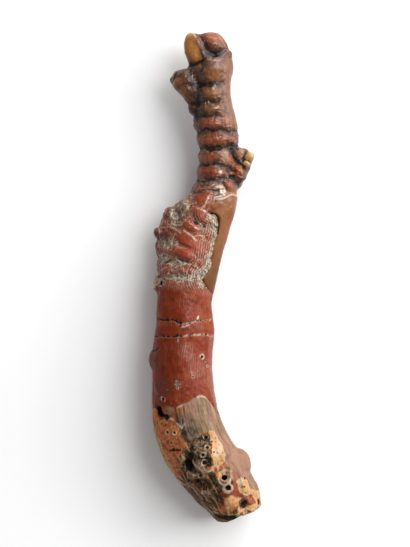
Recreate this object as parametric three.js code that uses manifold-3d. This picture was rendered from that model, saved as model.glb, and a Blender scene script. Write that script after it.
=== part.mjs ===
// A loose branch of old coral, lying on its side. Millimetres, +Z up.
// +Y runs from the holdfast, where the branch was cut off its rock, to the growing tips.
// The branch grew as one skeleton and is divided only where it forks.
import * as THREE from "three";
import { mergeVertices } from "three/addons/utils/BufferGeometryUtils.js";
import Module from "manifold-3d";

const wasm = await Module();
wasm.setup();

// ---- Driving dimensions ----

const GAP = 0.3; // clearance between neighbouring pieces
const AROUND = 24; // facets round the main stem
const STEM_STEPS = 94; // rings along the main stem
const STUB_AROUND = 16;
const STUB_STEPS = 8;
const LUMP_DETAIL = 2;

// The main stem from the holdfast to the crown: centre, half width across and half depth.
const STEM = [
  { x: 10.6, y: -62.5, z: 6.2, wide: 4.6, deep: 5.2 },
  { x: 6.9, y: -55.3, z: 6.5, wide: 6.9, deep: 6.8 },
  { x: 1.8, y: -48.3, z: 7.5, wide: 8.0, deep: 7.3 },
  { x: -2.0, y: -42.5, z: 7.9, wide: 8.4, deep: 7.6 },
  { x: -3.9, y: -37.8, z: 8.4, wide: 8.3, deep: 7.5 },
  { x: -4.9, y: -32.0, z: 8.7, wide: 8.0, deep: 7.2 },
  { x: -5.4, y: -25.8, z: 8.8, wide: 7.5, deep: 7.0 },
  { x: -5.5, y: -19.5, z: 8.7, wide: 7.4, deep: 6.9 },
  { x: -4.9, y: -13.2, z: 8.4, wide: 7.3, deep: 6.8 },
  { x: -5.1, y: -7.0, z: 8.0, wide: 6.8, deep: 6.5 },
  { x: -4.4, y: -0.8, z: 7.6, wide: 7.1, deep: 6.5 },
  { x: -3.4, y: 4.8, z: 7.2, wide: 7.3, deep: 6.5 },
  { x: -1.7, y: 9.8, z: 6.9, wide: 6.9, deep: 6.2 },
  { x: 0.4, y: 14.8, z: 6.6, wide: 6.5, deep: 5.8 },
  { x: 2.1, y: 19.2, z: 6.3, wide: 6.1, deep: 5.3 },
  { x: 2.8, y: 22.8, z: 6.1, wide: 5.5, deep: 5.0 },
  { x: 2.9, y: 26.4, z: 5.9, wide: 4.8, deep: 4.7 },
  { x: 3.1, y: 30.5, z: 6.0, wide: 4.8, deep: 4.6 },
  { x: 3.4, y: 34.3, z: 6.3, wide: 5.2, deep: 4.7 },
  { x: 2.7, y: 38.0, z: 6.6, wide: 5.3, deep: 4.7 },
  { x: 1.8, y: 41.8, z: 6.8, wide: 5.2, deep: 4.6 },
  { x: 1.4, y: 45.6, z: 7.0, wide: 5.0, deep: 4.6 },
  { x: 1.6, y: 49.2, z: 7.1, wide: 4.9, deep: 4.6 },
  { x: 2.2, y: 52.8, z: 7.2, wide: 5.0, deep: 4.7 },
  { x: 2.3, y: 55.8, z: 7.2, wide: 4.3, deep: 4.2 },
  { x: 1.4, y: 58.6, z: 7.1, wide: 3.9, deep: 3.7 },
  { x: 0.5, y: 61.2, z: 6.9, wide: 3.6, deep: 3.2 },
];
const CROWN_DOME = 0.03; // share of the stem's length that rounds over at the crown

// Growth rings pinch the upper stem; the outer flank of the bend is worn smooth.
const RING_PINCHES = [48.2, 44.2, 40.6, 37.2, 32.3, 28.4, 24.8];
const PINCH_DEPTH = 0.42;
const PINCH_WIDTH = 0.85;
const WORN_SIDE = 0; // angle round the stem, 0 towards +X

// The old stem is gently fluted, so its section is never a true ellipse.
const FLUTES = 5;
const FLUTE_DEPTH = 0.14;

// Where the stem divides: the burr's fork, and the top fork with the finger.
const STEM_FORK = { point: [2.0, 18.9, 0], normal: [0.32, 0.947, 0] };
const TOP_FORK = { point: [2.2, 54.1, 0], normal: [-0.12, 0.993, 0] };

// The holdfast is cut flat, square to the stem.
const BASE_CUT = { point: [8.6, -59.5, 5.0], normal: [0.37, -0.929, 0] };

const FINGER = [
  { x: -0.6, y: 51.4, z: 7.8, wide: 2.0, deep: 2.3 },
  { x: -2.1, y: 54.4, z: 8.4, wide: 2.1, deep: 2.2 },
  { x: -3.1, y: 57.4, z: 8.8, wide: 1.95, deep: 1.9 },
  { x: -3.7, y: 61.0, z: 9.0, wide: 1.7, deep: 1.6 },
];
const LEFT_STUB = [
  { x: 0.4, y: 46.6, z: 7.0, wide: 4.6, deep: 3.6 },
  { x: -3.8, y: 48.3, z: 7.1, wide: 3.7, deep: 3.2 },
  { x: -6.5, y: 49.2, z: 7.1, wide: 2.8, deep: 2.6 },
  { x: -8.7, y: 49.3, z: 7.0, wide: 2.0, deep: 1.9 },
];
const SPUR = [
  { x: -9.4, y: -4.4, z: 8.4, wide: 1.9, deep: 1.9 },
  { x: -11.8, y: -2.4, z: 8.7, wide: 1.5, deep: 1.5 },
  { x: -13.5, y: -1.0, z: 8.9, wide: 0.85, deep: 0.9 },
];
const STUB_DOME = 0.3;

// Lumps are ellipsoids: centre and half sizes.
const BURR_LUMPS = [
  { at: [-4.4, 17.0, 6.2], half: [3.4, 2.6, 4.4] },
  { at: [-8.6, 15.3, 6.4], half: [2.0, 2.1, 2.8] },
  { at: [-7.4, 12.2, 5.4], half: [4.2, 3.8, 5.0] },
  { at: [-11.2, 11.0, 6.8], half: [1.5, 1.5, 1.8] },
  { at: [-9.4, 7.4, 4.4], half: [3.0, 3.9, 4.8] },
  { at: [-8.2, 2.6, 6.2], half: [3.8, 4.2, 4.6] },
];
const KNUCKLE_LUMPS = [
  { at: [8.2, 30.8, 5.4], half: [2.9, 2.2, 3.1] },
  { at: [10.3, 29.7, 6.0], half: [1.7, 1.9, 1.9] },
  { at: [9.2, 27.8, 4.2], half: [2.3, 2.2, 4.6] },
  { at: [7.9, 25.7, 4.8], half: [2.7, 2.3, 4.1] },
  { at: [7.1, 23.6, 4.9], half: [2.4, 2.0, 3.6] },
];
const HOLDFAST_LUMPS = [
  { at: [8.3, -47.0, 7.0], half: [3.2, 3.9, 4.2] },
  { at: [10.9, -55.0, 5.2], half: [2.9, 4.2, 4.4] },
  { at: [0.2, -44.4, 13.4], half: [3.4, 5.2, 2.7] },
  { at: [5.6, -51.6, 12.2], half: [2.4, 2.8, 2.2] },
  { at: [7.0, -56.4, 10.6], half: [2.8, 2.4, 2.6] },
  { at: [2.0, -54.4, 4.0], half: [3.4, 3.4, 4.3] },
];
const BUD_LUMP = { at: [-11.0, -20.6, 8.4], half: [3.0, 3.2, 3.4] };

// Hollows worn or bored into the holdfast.
const HOLDFAST_HOLLOWS = [
  { at: [-4.6, -47.2, 14.4], half: [1.7, 2.6, 2.2] },
  { at: [-1.0, -51.2, 13.9], half: [3.0, 1.7, 2.0] },
  { at: [0.3, -45.0, 16.6], half: [1.5, 2.3, 1.9] },
  { at: [-10.4, -33.8, 12.4], half: [1.5, 1.7, 1.5] },
];

// ---- Shapes ----

function solidOf(geometry) {
  const bare = new THREE.BufferGeometry();
  bare.setAttribute("position", geometry.getAttribute("position"));
  bare.setIndex(geometry.getIndex());
  const merged = mergeVertices(bare, 1e-4);
  return new wasm.Manifold(
    new wasm.Mesh({
      numProp: 3,
      vertProperties: merged.attributes.position.array,
      triVerts: new Uint32Array(merged.index.array),
    }),
  );
}

function geometryOf(solid) {
  const { vertProperties, triVerts } = solid.getMesh();
  const geometry = new THREE.BufferGeometry();
  geometry.setAttribute("position", new THREE.BufferAttribute(vertProperties, 3));
  geometry.setIndex(new THREE.BufferAttribute(triVerts, 1));
  geometry.computeVertexNormals();
  return geometry;
}

// A section swept through the stations. It starts flat and ends in a dome.
// relief(centre, angle) gives the height in millimetres that the surface stands proud.
function limb(stations, { around, steps, dome, relief = () => 0, grow = 0 }) {
  const line = new THREE.CatmullRomCurve3(
    stations.map((s) => new THREE.Vector3(s.x, s.y, s.z)),
  );
  const girth = new THREE.CatmullRomCurve3(
    stations.map((s) => new THREE.Vector3(s.wide, s.deep, 0)),
  );
  const up = new THREE.Vector3(0, 0, 1);
  const geometry = new THREE.CylinderGeometry(1, 1, 1, around, steps);
  const position = geometry.getAttribute("position");
  for (let i = 0; i < position.count; i++) {
    const u = THREE.MathUtils.clamp(position.getY(i) + 0.5, 0, 1);
    const t = line.getUtoTmapping(u);
    const centre = line.getPoint(t);
    const size = girth.getPoint(t);
    const ahead = line.getTangent(t);
    const side = ahead.clone().cross(up).normalize();
    const top = side.clone().cross(ahead);
    const angle = Math.atan2(position.getZ(i), position.getX(i));
    const reach = Math.hypot(position.getX(i), position.getZ(i));
    const over = Math.max(0, (u - (1 - dome)) / dome);
    const rounding = Math.sqrt(1 - 0.97 * over * over);
    const proud = relief(centre, angle) + grow;
    const point = centre
      .addScaledVector(side, Math.cos(angle) * reach * (size.x * rounding + proud))
      .addScaledVector(top, Math.sin(angle) * reach * (size.y * rounding + proud));
    position.setXYZ(i, point.x, point.y, point.z);
  }
  return solidOf(geometry);
}

function lump({ at, half }) {
  const geometry = new THREE.IcosahedronGeometry(1, LUMP_DETAIL);
  geometry.scale(...half);
  geometry.translate(...at);
  return solidOf(geometry);
}

function joined(solids) {
  return solids.reduce((whole, solid) => whole.add(solid));
}

// Keeps what lies ahead of a plane, along its normal, once it is moved by shift.
function ahead(solid, { point, normal }, shift = 0) {
  const n = new THREE.Vector3(...normal).normalize();
  return solid.trimByPlane(n.toArray(), n.dot(new THREE.Vector3(...point)) + shift);
}

function behind(solid, { point, normal }, shift = 0) {
  const back = normal.map((value) => -value);
  return ahead(solid, { point, normal: back }, shift);
}

function stemRelief(centre, angle) {
  const pinch = RING_PINCHES.reduce(
    (sum, y) => sum + Math.exp(-(((centre.y - y) / PINCH_WIDTH) ** 2)),
    0,
  );
  const worn = 0.5 + 0.5 * Math.cos(angle - WORN_SIDE);
  const old = THREE.MathUtils.smoothstep(-centre.y, -20, 10);
  const flute = Math.cos(FLUTES * angle + 0.08 * centre.y);
  return old * FLUTE_DEPTH * flute - PINCH_DEPTH * pinch * (1 - worn * worn);
}

// ---- The branch ----

const FLOOR = { point: [0, 0, 0], normal: [0, 0, 1] };
const stemShape = { around: AROUND, steps: STEM_STEPS, dome: CROWN_DOME, relief: stemRelief };
const stubShape = { around: STUB_AROUND, steps: STUB_STEPS, dome: STUB_DOME };

function lowerStem(stem) {
  const grown = joined([behind(stem, STEM_FORK, GAP / 2), ...HOLDFAST_LUMPS.map(lump), lump(BUD_LUMP)]);
  const worn = HOLDFAST_HOLLOWS.map(lump).reduce((left, hollow) => left.subtract(hollow), grown);
  return behind(worn, BASE_CUT);
}

function upperStem(stem) {
  return behind(ahead(stem, STEM_FORK, GAP / 2), TOP_FORK, GAP / 2);
}

function branch() {
  const stem = limb(STEM, stemShape);
  const keepOut = limb(STEM, { ...stemShape, grow: GAP });
  const beside = (solid) => solid.subtract(keepOut);
  const stub = (stations) => beside(limb(stations, stubShape));
  return {
    lower_stem: lowerStem(stem),
    upper_stem: upperStem(stem),
    crown: ahead(stem, TOP_FORK, GAP / 2),
    finger_tip: stub(FINGER),
    left_stub: stub(LEFT_STUB),
    left_spur: stub(SPUR),
    burr: beside(joined(BURR_LUMPS.map(lump))),
    knuckle: beside(joined(KNUCKLE_LUMPS.map(lump))),
  };
}

const FINISHES = {
  lower_stem: { color: 0x8c3a27, roughness: 0.42 },
  upper_stem: { color: 0x84492f, roughness: 0.32 },
  crown: { color: 0x7a4230, roughness: 0.3 },
  finger_tip: { color: 0xb48848, roughness: 0.28 },
  left_stub: { color: 0x7d5237, roughness: 0.34 },
  left_spur: { color: 0xa66e4c, roughness: 0.4 },
  burr: { color: 0x8a4f40, roughness: 0.5 },
  knuckle: { color: 0x8e4f2f, roughness: 0.3 },
};

// The origin is under the middle of the branch, on the surface it lies on.
const coral = new THREE.Group();
for (const [name, solid] of Object.entries(branch())) {
  const material = new THREE.MeshStandardMaterial({ ...FINISHES[name], metalness: 0 });
  const mesh = new THREE.Mesh(geometryOf(ahead(solid, FLOOR)), material);
  mesh.name = name;
  coral.add(mesh);
}
const middle = new THREE.Box3().setFromObject(coral).getCenter(new THREE.Vector3());
coral.position.set(-middle.x, -middle.y, 0);

export default coral;
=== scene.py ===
import math

import bmesh
import bpy
import numpy as np
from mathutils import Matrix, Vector, noise


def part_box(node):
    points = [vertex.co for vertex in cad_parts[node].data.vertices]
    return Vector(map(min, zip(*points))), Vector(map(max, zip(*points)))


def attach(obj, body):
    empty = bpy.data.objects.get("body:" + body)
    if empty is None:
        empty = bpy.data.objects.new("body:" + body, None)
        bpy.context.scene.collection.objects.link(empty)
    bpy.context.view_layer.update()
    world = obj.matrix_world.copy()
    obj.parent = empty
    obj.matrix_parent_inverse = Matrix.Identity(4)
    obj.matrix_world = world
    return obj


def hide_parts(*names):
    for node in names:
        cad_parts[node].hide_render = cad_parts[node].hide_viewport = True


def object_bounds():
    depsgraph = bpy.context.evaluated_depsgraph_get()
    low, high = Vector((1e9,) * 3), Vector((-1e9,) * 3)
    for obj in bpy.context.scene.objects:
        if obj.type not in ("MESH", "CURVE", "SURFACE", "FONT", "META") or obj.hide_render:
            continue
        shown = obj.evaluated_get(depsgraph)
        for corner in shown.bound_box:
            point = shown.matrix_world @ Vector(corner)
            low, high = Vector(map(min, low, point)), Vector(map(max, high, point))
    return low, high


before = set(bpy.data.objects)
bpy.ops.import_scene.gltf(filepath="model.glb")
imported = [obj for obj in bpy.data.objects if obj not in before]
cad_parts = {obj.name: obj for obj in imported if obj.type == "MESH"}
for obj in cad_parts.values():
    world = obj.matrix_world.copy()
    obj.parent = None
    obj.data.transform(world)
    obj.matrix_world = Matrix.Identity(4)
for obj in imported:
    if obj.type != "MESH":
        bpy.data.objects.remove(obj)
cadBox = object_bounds()
mm = 0.001
up = Vector((0, 0, 1))
print("frame loaded:", sorted(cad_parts))


def rise(low, high, value):  # 0 up to low, 1 from high on
    part = np.clip((value - low) / (high - low), 0.0, 1.0)
    return part * part * (3.0 - 2.0 * part)


def near(distance, width):  # 1 on the line, fading over that width
    return np.exp(-((distance / width) ** 2))


def linked(name, data):  # a new object in the scene
    piece = bpy.data.objects.new(name, data)
    bpy.context.scene.collection.objects.link(piece)
    return piece


# The first skin: swollen a little so that the gaps between the pieces close.
skinMake = {
    "swell": 0.19 * mm,
    "firstVoxel": 0.36 * mm,
    "voxel": 0.2 * mm,
    "evenTurns": 12,
    "slim": 0.11 * mm,
    "lighter": 0.70,  # share of the faces kept, all of those seen from above
}


def applied(piece):
    view = bpy.context.evaluated_depsgraph_get()
    mesh = bpy.data.meshes.new_from_object(piece.evaluated_get(view))
    old = piece.data
    piece.modifiers.clear()
    piece.data = mesh
    bpy.data.meshes.remove(old)
    return piece


def remeshed(piece, voxel, swell=0.0, evenTurns=0, slim=0.0):
    if swell:
        puff = piece.modifiers.new("swell", "DISPLACE")
        puff.strength = swell
        puff.mid_level = 0.0
    skin = piece.modifiers.new("skin", "REMESH")
    skin.mode = "VOXEL"
    skin.voxel_size = voxel
    if evenTurns:
        even = piece.modifiers.new("even", "SMOOTH")
        even.factor = 0.5
        even.iterations = evenTurns
    if slim:
        thin = piece.modifiers.new("slim", "DISPLACE")
        thin.strength = -slim
        thin.mid_level = 0.0
    return applied(piece)


def grownSkin():
    whole = bmesh.new()
    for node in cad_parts.values():
        whole.from_mesh(node.data)
    bmesh.ops.remove_doubles(whole, verts=whole.verts[:], dist=0.001 * mm)
    mesh = bpy.data.meshes.new("skin")
    whole.to_mesh(mesh)
    whole.free()
    make = skinMake
    return remeshed(
        linked("skin", mesh), make["firstVoxel"], make["swell"], make["evenTurns"], make["slim"]
    )


# The stem's middle line, measured on the frame: middle and half size every 1.5 mm.
stemPieces = ("lower_stem", "upper_stem", "crown")
spineStep = 1.5 * mm


def measureSpine():
    cad = [
        np.array([v.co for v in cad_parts[name].data.vertices]) for name in stemPieces
    ]
    cad = np.concatenate(cad)
    levels = np.arange(cad[:, 1].min(), cad[:, 1].max() + spineStep, spineStep)
    rows = []
    for level in levels:
        slab = cad[np.abs(cad[:, 1] - level) < 1.2 * spineStep]
        low, high = slab.min(0), slab.max(0)
        rows.append([*((low + high) / 2)[[0, 2]], *((high - low) / 2)[[0, 2]]])
    padded = np.pad(np.array(rows), ((2, 2), (0, 0)), mode="edge")
    kernel = np.array([1, 2, 3, 2, 1]) / 9
    smooth = [np.convolve(padded[:, i], kernel, mode="valid") for i in range(4)]
    return levels / mm, np.array(smooth) / mm


spineLevels, (spineX, spineZ, spineWide, spineDeep) = measureSpine()
branchLow = cadBox[0][1] / mm
branchLength = (cadBox[1][1] - cadBox[0][1]) / mm


def spot(along, across):  # place in mm from shares of the length and of the half width
    y = branchLow + along * branchLength
    x = np.interp(y, spineLevels, spineX) + across * np.interp(y, spineLevels, spineWide)
    return x, y


class Skin:
    # The surface as arrays, in millimetres, with where each point lies on the branch.
    def __init__(self, piece):
        self.piece = piece
        self.mesh = piece.data
        count = len(self.mesh.vertices)
        flat = np.empty(count * 3)
        self.mesh.vertices.foreach_get("co", flat)
        self.at = flat.reshape(-1, 3) / mm
        self.mesh.vertices.foreach_get("normal", flat)
        self.facing = flat.reshape(-1, 3).copy()
        ends = np.empty(len(self.mesh.edges) * 2, dtype=np.int64)
        self.mesh.edges.foreach_get("vertices", ends)
        self.ends = ends.reshape(-1, 2)
        self.along = (self.at[:, 1] - branchLow) / branchLength
        x = np.interp(self.at[:, 1], spineLevels, spineX)
        z = np.interp(self.at[:, 1], spineLevels, spineZ)
        self.across = (self.at[:, 0] - x) / np.interp(self.at[:, 1], spineLevels, spineWide)
        self.front = (self.at[:, 2] - z) / np.interp(self.at[:, 1], spineLevels, spineDeep)
        self.angle = np.arctan2(self.front, self.across)
        self.upward = rise(-0.35, 0.05, self.front)

    def grain(self, size, shift=0.0, stretch=(1, 1, 1)):  # soft noise, -1 to 1
        places = (self.at * stretch / size + shift).tolist()
        return np.array([noise.noise(place) for place in places]) * 1.6

    def cells(self, size, shift=0.0, stretch=(1, 1, 1)):  # 0 on the edges between cells
        places = (self.at * stretch / size + shift).tolist()
        found = [noise.voronoi(place)[0] for place in places]
        return np.array([row[1] - row[0] for row in found])

    def evened(self, values, turns):  # each point takes the mean of its neighbours
        a, b = self.ends[:, 0], self.ends[:, 1]
        count = len(self.at)
        degree = np.bincount(a, minlength=count) + np.bincount(b, minlength=count)
        for _ in range(turns):
            sums = np.bincount(a, values[b], count) + np.bincount(b, values[a], count)
            values = sums / np.maximum(degree, 1)
        return values

    def hollow(self, turns):  # how far each point lies below its surroundings, in mm
        mean = np.array([self.evened(self.at[:, i], turns) for i in range(3)]).T
        return ((mean - self.at) * self.facing).sum(1)

    def onTop(self, stop):  # the point of the upper surface over a spot
        along, across = stop
        for _ in range(40):
            x, y = spot(along, across)
            hit, place, _, _ = self.piece.ray_cast((x * mm, y * mm, 0.1), -up)
            if hit:
                return np.array(place) / mm
            across *= 0.97
        return np.array((x, y, np.interp(y, spineLevels, spineZ)))

    def line(self, stops, rounds=2, step=0.35):  # points on the surface along rounded stops
        path = np.array(stops, float)
        for _ in range(rounds):
            if len(path) < 3:
                break
            early = path[:-1] * 0.75 + path[1:] * 0.25
            late = path[:-1] * 0.25 + path[1:] * 0.75
            inner = np.stack([early, late], 1).reshape(-1, 2)
            path = np.concatenate([path[:1], inner[1:-1], path[-1:]])
        points = []
        for first, last in zip(path[:-1], path[1:]):
            length = math.dist(spot(*first), spot(*last))
            count = max(1, round(length / step))
            points += [self.onTop(first + (last - first) * i / count) for i in range(count)]
        points.append(self.onTop(path[-1]))
        return np.array(points)

    def away(self, points, reach=5.0):  # distance to a line or a point, and the share along it
        points = np.atleast_2d(points)
        low, high = points.min(0) - reach, points.max(0) + reach
        close = np.where(((self.at > low) & (self.at < high)).all(1))[0]
        distance = np.full(len(self.at), 99.0)
        share = np.zeros(len(self.at))
        if len(close):
            gaps = self.at[close][:, None, :] - points[None, :, :]
            lengths = np.sqrt((gaps**2).sum(2))
            best = lengths.argmin(1)
            distance[close] = lengths[np.arange(len(close)), best]
            share[close] = best / max(1, len(points) - 1)
        return distance, share

    def oval(self, stop, half, tilt=0.0):  # share of the way out of an oval seen from above
        x, y = spot(*stop)
        turn = math.radians(tilt)
        dx, dy = self.at[:, 0] - x, self.at[:, 1] - y
        a = (dx * math.cos(turn) + dy * math.sin(turn)) / half[0]
        b = (dy * math.cos(turn) - dx * math.sin(turn)) / half[1]
        return np.sqrt(a * a + b * b) + 9.0 * (1 - self.upward)

    def inside(self, stops, soften=0.5):  # 1 inside an outline seen from above
        outline = np.array([spot(*stop) for stop in stops])
        x, y = self.at[:, 0], self.at[:, 1]
        crossings = np.zeros(len(x), bool)
        distance = np.full(len(x), 99.0)
        for (ax, ay), (bx, by) in zip(outline, np.roll(outline, -1, axis=0)):
            spans = (ay > y) != (by > y)
            cut = ax + (y - ay) * (bx - ax) / (by - ay if by != ay else 1e-9)
            crossings ^= spans & (x < cut)
            length = (bx - ax) ** 2 + (by - ay) ** 2 + 1e-12
            part = np.clip(((x - ax) * (bx - ax) + (y - ay) * (by - ay)) / length, 0, 1)
            gap = np.hypot(x - ax - part * (bx - ax), y - ay - part * (by - ay))
            distance = np.minimum(distance, gap)
        signed = np.where(crossings, distance, -distance)
        return rise(-soften, soften, signed) * self.upward

    def move(self, lift):  # along the outward direction, in mm, never below the table
        self.at = self.at + self.facing * lift[:, None]
        self.at[:, 2] = np.maximum(self.at[:, 2], 0.0)
        self.mesh.vertices.foreach_set("co", (self.at * mm).ravel())
        self.mesh.update()

    def keep(self, name, values):
        layer = self.mesh.attributes.new(name, "FLOAT", "POINT")
        layer.data.foreach_set("value", np.clip(values, 0, 1).astype(np.float32))


# Carving the larger forms. A stop is a share of the length and of the half width. A dab is
# a stop, radius and lift, a groove is a width, a depth and its stops. Sizes are in mm.

# The forks are webbed with a little more skeleton, and worn at a few places.
webs = [
    ((0.983, -0.74), 2.0, 0.95), ((0.982, -1.14), 1.5, 0.7), ((0.962, -0.8), 1.6, 0.5),
    ((0.958, -1.57), 2.0, 0.3), ((0.864, -1.22), 2.4, 0.55), ((0.848, -1.04), 2.2, 0.7),
    ((0.83, -0.9), 2.0, 0.4), ((0.921, -1.16), 1.6, 0.55), ((0.98, 0.87), 2.0, -0.65),
    ((0.97, 0.91), 1.4, -0.45), ((0.869, -1.61), 1.8, -0.55), ((0.468, -1.16), 1.4, -0.75),
    ((0.482, -1.3), 1.1, -0.55), ((0.497, -1.31), 1.2, 1.6), ((0.907, -2.1), 0.9, -0.35),
]
crownForm = {
    "dabs": [
        ((0.975, 0.01), 2.6, 0.35), ((0.974, -0.61), 1.8, 0.15), ((0.924, 0.2), 2.8, 0.3),
        ((0.9, 0.4), 2.2, 0.15), ((0.952, 0.04), 2.3, -0.45), ((0.948, 0.09), 0.8, -0.55),
        ((0.953, 0.47), 1.6, -0.3), ((0.968, 0.89), 1.0, -0.35), ((0.954, 0.97), 1.3, 0.3),
        ((0.971, -0.78), 1.4, 0.45), ((0.953, -0.55), 1.1, 0.45),
    ],
    "grooves": [
        (0.75, 0.5, (0.957, -0.39), (0.95, -0.17), (0.948, 0.04), (0.95, 0.35), (0.958, 0.71),
         (0.968, 1.02)),
        (0.3, 0.16, (0.94, -0.17), (0.936, 0.14), (0.94, 0.44)),
        (0.4, 0.35, (0.995, -1.34), (0.982, -0.86), (0.967, -0.52), (0.957, -0.39)),
        (0.6, 0.7, (0.925, -1.27), (0.928, -0.99), (0.933, -0.7), (0.938, -0.46)),
        (0.5, 0.3, (0.932, -0.5), (0.922, -0.43), (0.912, -0.5)),
        (0.35, -0.25, (0.993, -1.55), (0.982, -1.07), (0.964, -0.69), (0.949, -0.49),
         (0.934, -0.36)),
    ],
}
stubForm = {
    "dabs": [
        ((0.893, -1.68), 1.5, 0.25), ((0.909, -1.37), 1.2, 0.25), ((0.901, -1.95), 0.7, -0.35),
    ],
    "grooves": [
        (0.4, 0.4, (0.889, -1.92), (0.901, -1.8), (0.915, -1.68)),
        (0.9, 0.42, (0.914, -0.79), (0.897, -0.75), (0.883, -0.63), (0.867, -0.58),
         (0.849, -0.71), (0.834, -0.8), (0.819, -0.8)),
        (0.6, 0.3, (0.905, -1.07), (0.891, -0.69), (0.888, -0.34), (0.888, -0.0)),
    ],
}
knuckleForm = {
    "dabs": [
        ((0.753, 1.08), 1.6, 0.65), ((0.745, 1.65), 1.3, 0.9), ((0.731, 1.51), 1.0, 0.8),
        ((0.715, 1.04), 1.7, 0.9), ((0.702, 1.29), 1.5, 0.5), ((0.688, 0.72), 1.9, 0.45),
        ((0.74, 0.25), 1.8, 0.35),
    ],
    "grooves": [
        (0.55, 0.9, (0.763, 0.74), (0.747, 0.79), (0.738, 0.97), (0.729, 1.2), (0.721, 1.35),
         (0.717, 1.54)),
        (0.4, 0.9, (0.757, 1.42), (0.747, 1.36), (0.739, 1.28), (0.731, 1.35)),
        (0.32, 0.7, (0.737, 1.34), (0.737, 1.54), (0.733, 1.76)),
        (0.5, 0.7, (0.72, 0.58), (0.708, 0.67), (0.697, 0.85), (0.686, 1.07)),
        (0.4, 0.4, (0.695, 0.27), (0.685, 0.42), (0.674, 0.61)),
    ],
}
burrForm = {
    # each pad is a stop, half sizes, tilt in degrees and its rise
    "pads": [
        ((0.622, -0.08), (3.0, 1.35), -36, 0.4), ((0.602, -0.37), (2.4, 1.05), -32, 0.36),
        ((0.574, -0.29), (3.4, 1.9), -36, 0.36), ((0.546, -0.29), (3.2, 1.5), -20, 0.42),
        ((0.629, -1.16), (1.3, 2.0), 10, 0.55), ((0.592, -1.37), (1.0, 1.1), 0, 0.5),
        ((0.585, -1.06), (1.4, 1.2), 15, 0.5), ((0.553, -1.01), (1.6, 2.2), 10, 0.4),
        ((0.518, -0.77), (1.7, 2.1), -10, 0.4), ((0.51, -0.19), (2.6, 0.9), 0, 0.25),
        ((0.643, 0.16), (2.6, 1.1), 30, 0.3), ((0.665, -0.33), (2.2, 2.2), 0, 0.3),
        ((0.689, -0.32), (2.4, 1.2), 0, 0.25), ((0.644, -0.83), (1.1, 1.5), -20, 0.35),
    ],
    "grooves": [
        (0.5, 0.38, (0.613, -0.33), (0.604, -0.08), (0.602, 0.16)),
        (0.5, 0.42, (0.54, -0.5), (0.534, -0.22), (0.532, 0.01)),
        (0.4, 0.25, (0.568, -0.48), (0.56, -0.25), (0.556, -0.01)),
        (0.4, 0.4, (0.569, -0.95), (0.576, -1.15), (0.58, -1.28)),
        (0.5, 0.35, (0.645, -1.38), (0.618, -0.94), (0.604, -0.97)),
        (0.45, 0.4, (0.53, -0.8), (0.532, -0.6), (0.522, -0.41)),
    ],
}
holdfastForm = {
    "dabs": [
        ((0.146, 0.05), 2.6, 0.75), ((0.163, 0.38), 2.4, 0.35), ((0.05, 0.18), 2.3, 0.55),
        ((0.135, 0.89), 2.8, 0.3), ((0.051, 0.7), 1.6, 0.35), ((0.125, -0.4), 1.7, -1.0),
        ((0.143, -0.25), 1.2, -0.7), ((0.09, -0.34), 2.1, -0.85), ((0.089, -0.09), 1.6, -0.6),
        ((0.237, -0.78), 1.2, -1.0), ((0.229, -0.69), 1.4, -1.1), ((0.222, -0.58), 0.9, -0.9),
        ((0.236, -0.51), 1.1, 0.35), ((0.234, -0.63), 0.6, 0.45), ((0.044, 0.49), 1.4, -1.1),
        ((0.101, -0.13), 2.0, -0.45), ((0.079, -0.53), 1.6, -0.5), ((0.117, 0.37), 1.6, 0.35),
        ((0.049, -0.26), 2.0, -0.65), ((0.177, 0.28), 1.2, -0.45), ((0.142, 0.08), 1.5, -0.5),
        ((0.156, -0.63), 1.1, -0.5), ((0.1, 0.3), 0.75, -1.2), ((0.08, 0.27), 0.65, -0.8),
        ((0.334, -0.82), 2.0, 0.25),
    ],
    "grooves": [
        (1.0, 0.75, (0.161, -0.18), (0.145, -0.33), (0.127, -0.36), (0.113, -0.32),
         (0.107, -0.16)),
        (0.6, -0.4, (0.153, -0.41), (0.134, -0.54), (0.116, -0.56), (0.1, -0.49), (0.099, -0.36)),
        (0.6, -0.35, (0.185, 0.21), (0.167, -0.04), (0.146, -0.19), (0.126, -0.17),
         (0.114, -0.06), (0.118, 0.09), (0.138, 0.22)),
        (0.5, -0.42, (0.125, 0.28), (0.112, 0.16), (0.095, 0.12), (0.087, 0.19), (0.09, 0.36),
         (0.104, 0.48), (0.121, 0.5), (0.127, 0.4), (0.125, 0.28)),
        (0.35, -0.3, (0.079, 0.11), (0.071, 0.13), (0.072, 0.26), (0.08, 0.39)),
        (0.4, -0.25, (0.134, 0.58), (0.12, 0.63), (0.103, 0.69), (0.082, 0.65)),
        (0.5, 0.45, (0.092, -0.74), (0.08, -0.67), (0.064, -0.59), (0.055, -0.46)),
        (0.5, -0.3, (0.086, -0.67), (0.073, -0.56), (0.061, -0.43)),
        (0.35, 0.3, (0.132, 0.55), (0.118, 0.62), (0.103, 0.66)),
        (0.7, 0.8, (0.029, -0.53), (0.02, -0.32), (0.015, 0.14), (0.016, 0.61), (0.023, 0.78)),
        (0.4, 0.8, (0.051, 0.9), (0.043, 0.94), (0.036, 0.91)),
        (0.4, 0.35, (0.153, -0.43), (0.141, -0.51), (0.124, -0.56)),
    ],
}


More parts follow.
